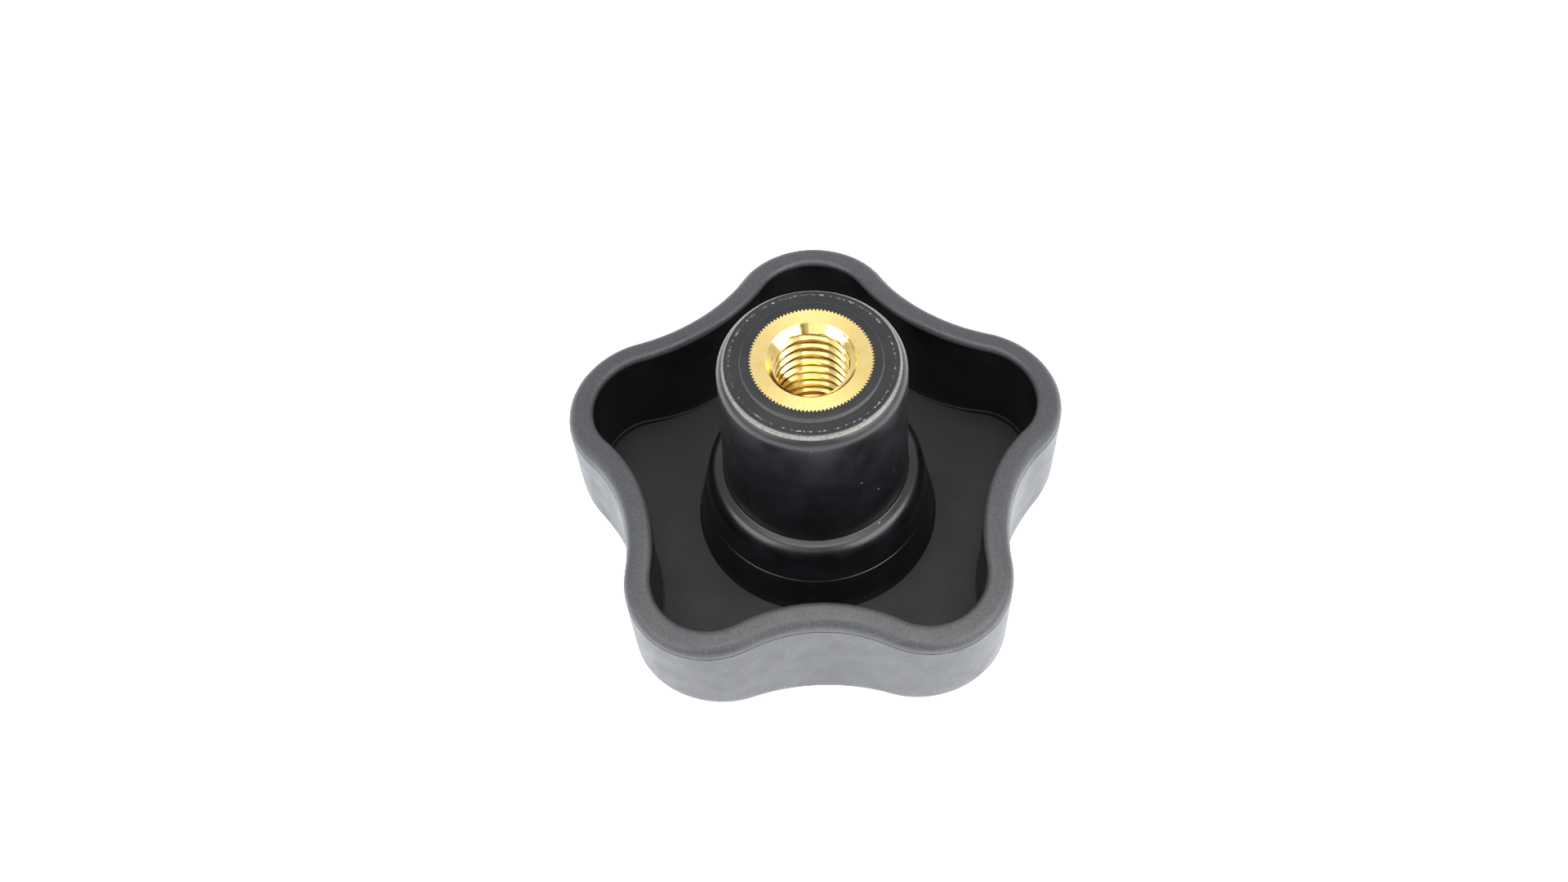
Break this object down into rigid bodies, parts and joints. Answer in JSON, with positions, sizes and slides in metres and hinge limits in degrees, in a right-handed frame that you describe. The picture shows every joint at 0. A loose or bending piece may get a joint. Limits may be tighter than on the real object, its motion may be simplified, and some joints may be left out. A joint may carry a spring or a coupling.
{
  "type": "star knob nut",
  "caption": "Five-lobe star knob with an open back, a tall hub and a threaded brass insert; it screws onto a bolt by hand.",
  "frame": {"origin": "centre of the flat in the middle of the grip face, on the thread's axis", "axes": "+Z along the thread's axis, out of the hub's open end; +Y through the middle of one lobe"},
  "size_m": [0.061, 0.0589, 0.0379],
  "materials": {
    "black_plastic": "fine moulded texture, semi-matte",
    "brass": "turned, satin"
  },
  "bodies": {
    "root": {"knob_body": "black_plastic", "threaded_insert": "brass"}
  },
  "joints": []
}
